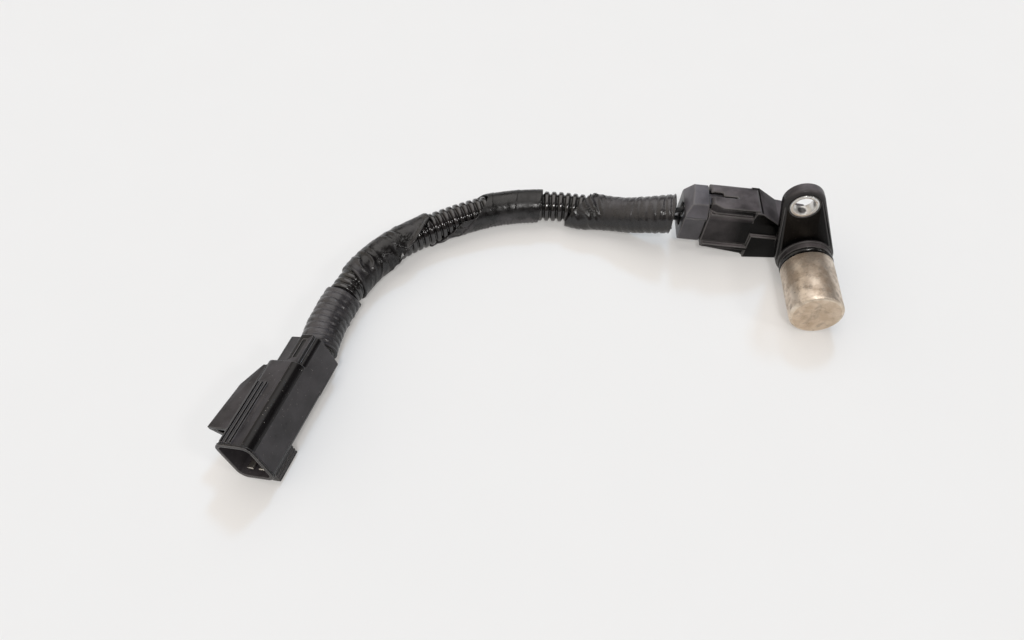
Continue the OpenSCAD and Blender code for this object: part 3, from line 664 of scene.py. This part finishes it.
def rubber(name, base, rough):
    finish = Finish(name)
    dust = finish.ramp(finish.noise(1.2 * MM, 4), (0.5, 0), (0.75, 1))
    color = finish.mix(dust * 0.4, base, (0.04, 0.037, 0.034))
    normal = finish.bump(finish.noise(0.2 * MM, 2), 0.015 * MM, 0.5)
    return finish.surface(color=color, rough=rough + 0.25 * dust, normal=normal)


def conduit_with_groove_shade():
    finish = Finish("conduit_plastic")
    crest = finish.attribute("surface")
    dust = finish.ramp(finish.noise(2.5 * MM, 4), (0.42, 0), (0.70, 1))
    # Crests lighter, partly dust and painted light from above; grooves nearly black as painted shade.
    color = finish.mix(crest * (0.55 + 0.45 * dust), (0.002, 0.0019, 0.0019), (0.021, 0.0193, 0.0197))
    grain = finish.noise(0.18 * MM, 2)
    normal = finish.bump(grain, 0.008 * MM, 0.5)
    return finish.surface(color=color, rough=0.10 + 0.14 * dust, normal=normal, specular=0.75)


def wound_tape():
    finish = Finish("loom_tape")
    raised = finish.attribute("surface")
    settled = finish.attribute("settled") ** 2
    # Greyer towards the plug and towards the tail.
    greyer_by_ends = finish.span("X", *GREYER_BY_PLUG) + finish.span("Y", *GREYER_BY_TAIL)
    dust = finish.ramp(finish.noise(6 * MM, 5, 0.6), (0.40, 0), (0.66, 1))
    smear = finish.ramp(finish.noise(1.5 * MM, 4), (0.45, 0), (0.75, 1))
    # Dust and a painted sheen: lighter on the side each wrap's film faces.
    film_and_sheen = (0.12 + 0.88 * settled) * (0.6 * dust + 0.5 * greyer_by_ends)
    color = finish.mix(film_and_sheen, (0.0025, 0.0023, 0.0025), (0.056, 0.052, 0.055))
    # Raised folds and ridges are painted lighter: a painted highlight.
    color = finish.mix(raised * 0.2, color, (0.045, 0.042, 0.043))
    crinkle = finish.noise(0.9 * MM, 3)
    fine = finish.noise(0.2 * MM, 2)
    rough = 0.27 + 0.16 * dust + 0.10 * smear - 0.16 * raised
    normal = finish.bump(3.0 * crinkle + fine, 0.03 * MM, 0.6)
    return finish.surface(color=color, rough=rough, normal=normal, specular=0.48)


ring_rubber = rubber("ring_rubber", (0.006, 0.006, 0.006), 0.18)
seal_rubber = rubber("seal_rubber", (0.022, 0.021, 0.020), 0.42)
conduit_plastic = conduit_with_groove_shade()
loom_tape = wound_tape()
print("nodes in the tape's finish:", len(loom_tape.node_tree.nodes))

# %% [markdown]
# A moulding's finish depends on its shape: the film of dust and painted sheen lies where a face looks up,
# and a hollow is left black as painted shade.
# Ambient Occlusion nodes could find the hollows, but a number that is kept on each face costs nothing later.
# So rays are sent from each face towards its own sky, and those that soon hit the moulding are counted.

# %% Shelter of the faces
SHELTER_REACH = 6 * MM
OFF_FACE = 0.02 * MM
SMALLEST_AREA = 1e-12


def open_sky(count):
    """Directions over a flat face, closer together straight above it, as light falls on it."""
    shares = (np.arange(count) + 0.5) / count
    turn = np.arange(count) * math.pi * (3 - math.sqrt(5))
    out = np.sqrt(shares)
    return [Vector(way) for way in zip(out * np.cos(turn), out * np.sin(turn), np.sqrt(1 - shares))]


SKY = open_sky(32)


def search_tree(mesh):
    """The mesh's faces, sorted so that a ray's hit or the nearest point is found fast."""
    corners = [point.co for point in mesh.vertices]
    return BVHTree.FromPolygons(corners, [face.vertices for face in mesh.polygons])


def shelter(mesh):
    """How much of the sky over each face the same moulding hides from close by, from 0 to 1.
    A face can bend round a rib, so its triangles are asked one by one."""
    tree = search_tree(mesh)
    hidden = np.zeros(len(mesh.polygons))
    area = np.zeros(len(mesh.polygons))
    mesh.calc_loop_triangles()
    for part in mesh.loop_triangles:
        start = part.center + OFF_FACE * part.normal
        turned = Vector((0, 0, 1)).rotation_difference(part.normal)
        hits = [tree.ray_cast(start, turned @ way, SHELTER_REACH)[0] is not None for way in SKY]
        hidden[part.polygon_index] += part.area * sum(hits) / len(SKY)
        area[part.polygon_index] += part.area
    return hidden / np.maximum(area, SMALLEST_AREA)


print("directions in the sky:", len(SKY))

# %% [markdown]
# Four numbers go with each face of a moulding: edge, for wear and a painted highlight, says how sharply it
# turns if it is one of the narrow faces that round an outer edge. rounded marks a soft corner, where the
# film is left off as painted shade. lies_up says how far the face looks up, for the film of dust and painted
# sheen, and sheltered is its share of hidden sky, for painted shade in hollows.

# %% Marks on the faces
WEAR_AND_HIGHLIGHT_BEND = 25
GENTLE_BEND = (5, 20)
ROUNDED_WIDTH = 1.1 * MM


def mark_faces(mesh, narrow):
    """Keeps edge, rounded, lies_up and sheltered, each from 0 to 1. Faces up to narrow across round an edge.
    A long face is about twice its area divided by its rim across."""
    count = len(mesh.polygons)
    beside = {}
    for face in mesh.polygons:
        for key in face.edge_keys:
            beside.setdefault(key, []).append(face)
    turn = np.zeros(count)
    rim = np.zeros(count)
    gentle = np.zeros(count)
    for (start, end), faces in beside.items():
        span = (mesh.vertices[start].co - mesh.vertices[end].co).length
        for face in faces:
            rim[face.index] += span
        if len(faces) == 2 and (faces[1].center - faces[0].center).dot(faces[0].normal) < 0:
            bend = math.degrees(faces[0].normal.angle(faces[1].normal, 0.0))
            for face in faces:
                turn[face.index] = max(turn[face.index], min(bend / WEAR_AND_HIGHLIGHT_BEND, 1.0))
                gentle[face.index] += GENTLE_BEND[0] < bend < GENTLE_BEND[1]
    area = np.array([face.area for face in mesh.polygons])
    turn[2 * area > narrow * rim] = 0
    keep_values(mesh, "rounded", "FACE", (gentle >= 2) & (2 * area < ROUNDED_WIDTH * rim))
    keep_values(mesh, "edge", "FACE", turn)
    keep_values(mesh, "lies_up", "FACE", [max(face.normal.z, 0.0) for face in mesh.polygons])
    keep_values(mesh, "sheltered", "FACE", shelter(mesh))


# %% [markdown]
# A solid from the frame has knife edges, but a moulding has small rounds that catch the light.
# Each visible rigid node is copied, its loose triangles are merged into flat faces, and a Bevel modifier
# rounds every edge that turns sharply. The copy then stands for the node.

# %% Rounded mouldings
SLOT_OF = {entry["node"]: entry["material_slot"] for entry in frame["record"]["subparts"]}
MERGE_WITHIN = 0.002 * MM
FLAT_WITHIN = math.radians(0.5)
SHARP_TURN = math.radians(38)
SMOOTH_TURN = math.radians(32)
ROUND_SEGMENTS = 3
STRAY_SHARE = 0.6
NARROW_SHARE = 0.7


def keep_to_solid(mesh, solid, tolerance):
    """A bevel overshoots where edges are short. Points that left the solid's surface go back to it."""
    tree = search_tree(solid)
    for point in mesh.vertices:
        place, _, _, far = tree.find_nearest(point.co)
        if far > tolerance:
            point.co = place


def rounded_copy(node, width, material, narrow=None):
    """A copy of a node with its sharp edges rounded. It stands for the node, with the material it is given.
    Faces up to narrow across count as rounded edges."""
    source = frame["nodes"][node]
    activate(source)
    bpy.ops.object.duplicate()
    piece = bpy.context.object
    piece.name = node + "_moulded"
    piece.parent = None
    for key in [key for key in piece.keys() if key.startswith("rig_")]:
        del piece[key]
    activate(piece)
    bpy.ops.object.mode_set(mode="EDIT")
    bpy.ops.mesh.select_all(action="SELECT")
    bpy.ops.mesh.remove_doubles(threshold=MERGE_WITHIN)
    bpy.ops.mesh.dissolve_limited(angle_limit=FLAT_WITHIN)
    bpy.ops.object.mode_set(mode="OBJECT")
    bevel = piece.modifiers.new("rounds", "BEVEL")
    bevel.limit_method = "ANGLE"
    bevel.angle_limit = SHARP_TURN
    bevel.width = width
    bevel.segments = ROUND_SEGMENTS
    bevel.use_clamp_overlap = False
    bpy.ops.object.modifier_apply(modifier=bevel.name)
    keep_to_solid(piece.data, source.data, STRAY_SHARE * width)
    bpy.ops.object.shade_smooth_by_angle(angle=SMOOTH_TURN)
    mark_faces(piece.data, narrow or NARROW_SHARE * width)
    piece.data.materials.clear()
    piece.data.materials.append(material)
    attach(piece, "root")
    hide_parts(node)
    print(piece.name, "faces:", len(piece.data.polygons))
    return piece


rounded_copy("sensor_body", 0.4 * MM, body_plastic)
rounded_copy("plug_housing", 0.4 * MM, plug_plastic)
rounded_copy("probe_can", 0.08 * MM, can_metal, narrow=0.45 * MM)
rounded_copy("ear_bush", 0.3 * MM, bush_metal)
rounded_copy("o_ring", 0.05 * MM, ring_rubber)
tail = [
    rounded_copy("tail_housing", 0.22 * MM, tail_plastic),
    rounded_copy("tail_pin_left", 0.15 * MM, tinned_brass),
    rounded_copy("tail_pin_right", 0.15 * MM, tinned_brass),
]

# %% [markdown]

# %% [markdown]
# The other nodes keep their own meshes and take a finish by their material slot.

# %% Finishes of the nodes
FINISHES = {
    "can_metal": can_metal, "bush_metal": bush_metal, "ring_rubber": ring_rubber, "soft_iron": soft_iron,
    "magnet_alloy": magnet_alloy, "bobbin_plastic": bobbin_plastic, "enamelled_copper": enamelled_copper,
    "tinned_brass": tinned_brass, "retainer_plastic": retainer_plastic, "seal_rubber": seal_rubber,
    "wire_insulation": wire_insulation, "body_plastic": body_plastic, "plug_plastic": plug_plastic,
    "tail_plastic": tail_plastic, "conduit_plastic": conduit_plastic, "loom_tape": loom_tape,
}
for node, slot in SLOT_OF.items():
    mesh = frame["nodes"][node].data
    mesh.materials.clear()
    mesh.materials.append(FINISHES[slot])
conduit.data.materials.append(conduit_plastic)
for tape in tapes:
    tape.data.materials.append(loom_tape)
print("finishes:", len(FINISHES))

# %% [markdown]
# The table is white. Part of its pale colour is its own, for the camera, for mirror images and for what is
# seen through a clear piece, which keeps the shadows as faint as those of a bright room.

# %% Table
TABLE_SIZE = 4
PALE_FLOOR = (0.868, 0.845, 0.818, 1)
FLOOR_GLOW = 0.33

bpy.ops.mesh.primitive_plane_add(size=TABLE_SIZE, location=(0, 0, TABLE_Z))
table = bpy.context.object
table.name = "table"
table_white = Finish("table_white")
white = table_white.mix(table_white.noise(30 * MM, 3), (0.80, 0.80, 0.80), (0.82, 0.82, 0.82))
table.data.materials.append(table_white.surface(color=white, rough=0.9, specular=0.0))
seen = table_white.node("ShaderNodeLightPath", {}, {}, output="Is Camera Ray")
mirrored = table_white.node("ShaderNodeLightPath", {}, {}, output="Is Glossy Ray")
through = table_white.node("ShaderNodeLightPath", {}, {}, output="Is Transmission Ray")
lit = Link(table_white, table_white.shader.outputs["BSDF"])
glow = table_white.node("ShaderNodeEmission", {}, {"Color": PALE_FLOOR})
glow_share = FLOOR_GLOW * (seen + mirrored + through)
both = table_white.node("ShaderNodeMixShader", {}, {0: glow_share, 1: lit, 2: glow})
table_white.feed(table_white.tree.nodes["Material Output"].inputs["Surface"], both)
print("table at z:", round(TABLE_Z / MM, 2), "mm")

# %% [markdown]
# A long soft panel hangs over the table from front to back, and the wall at the left is light.
# The right side and the place where the photographer stands are dark, so black faces that look that way stay
# black while faces that look up turn grey. Low down, a pale wall goes all round the table.
# The room is written with the same helper as the materials, because a world is a node tree too.

# %% Room
PANEL = (1.84, 1.76, 1.69)
PANEL_OFFSET = 0.05
LEFT_WALL = (0.98, 0.90, 0.80)
SHADE = (0.075, 0.062, 0.052)
LOW_WALL = (0.85, 0.85, 0.85)
room = Finish("room", bpy.data.worlds.new("room"))


def facing(way):
    """How far a direction of the room points this way, from -1 to 1."""
    both_ways = {0: room.place, 1: way}
    return room.node("ShaderNodeVectorMath", {"operation": "DOT_PRODUCT"}, both_ways, output="Value")


upward = facing((0, 0, 1))
sideways = facing((1, 0, 0)) + PANEL_OFFSET
photographer = room.ramp(facing(-CAMERA_LOOK), (0.86, 0), (0.95, 1))
overhead = room.ramp(upward, (0.46, 0), (0.60, 1)) * (1 - photographer)
panel = room.ramp(sideways * sideways, (0.08, 1), (0.17, 0)) * overhead
leftward = room.ramp(facing((-1, 0, 0)), (0.30, 0), (0.60, 1)) * room.ramp(upward, (0.08, 0), (0.30, 1))
low = room.ramp(upward, (0.09, 1), (0.14, 0))
walls = room.mix(leftward, SHADE, LEFT_WALL)
around = room.mix(panel, walls, PANEL)
room.feed(room.shader.inputs["Color"], room.mix(low, around, LOW_WALL))
bpy.context.scene.world = room.material
print("nodes in the room:", len(room.tree.nodes))

# %% [markdown]
# Three lamps add what a soft room cannot. A small one beside the camera makes the glints on ribs and edges,
# and a weaker one at the right makes those on ribs that run slantwise.
# A bluish one far behind gives the shadows an edge, and what it misses is warm, so the shadows are beige.

# %% Lamps
NEAR_WHITE = (1.0, 0.98, 0.96)
BLUISH = (0.38, 0.68, 1.0)


def far_lamp(name, way, width, strength, color):
    """A lamp so far off that it lights the whole table alike. width is the angle it fills, in degrees."""
    bpy.ops.object.light_add(type="SUN")
    lamp = bpy.context.object
    lamp.name = name
    lamp.rotation_euler = way.to_track_quat("Z", "Y").to_euler()
    lamp.data.angle = math.radians(width)
    lamp.data.energy = strength
    lamp.data.color = color
    print("lamp", name, "with strength", strength)
    return lamp


far_lamp("beside_camera", Vector((0.04, -0.63, 0.77)), width=10, strength=0.95, color=NEAR_WHITE)
far_lamp("at_the_right", Vector((0.70, -0.34, 0.62)), width=10, strength=0.35, color=NEAR_WHITE)
window = far_lamp("window", Vector((0.16, 0.66, 0.74)), width=8, strength=0.72, color=BLUISH)
window.visible_glossy = False

# %% [markdown]
# The plain Standard view shows colours as they were written.

# %% View
bpy.context.scene.view_settings.view_transform = "Standard"
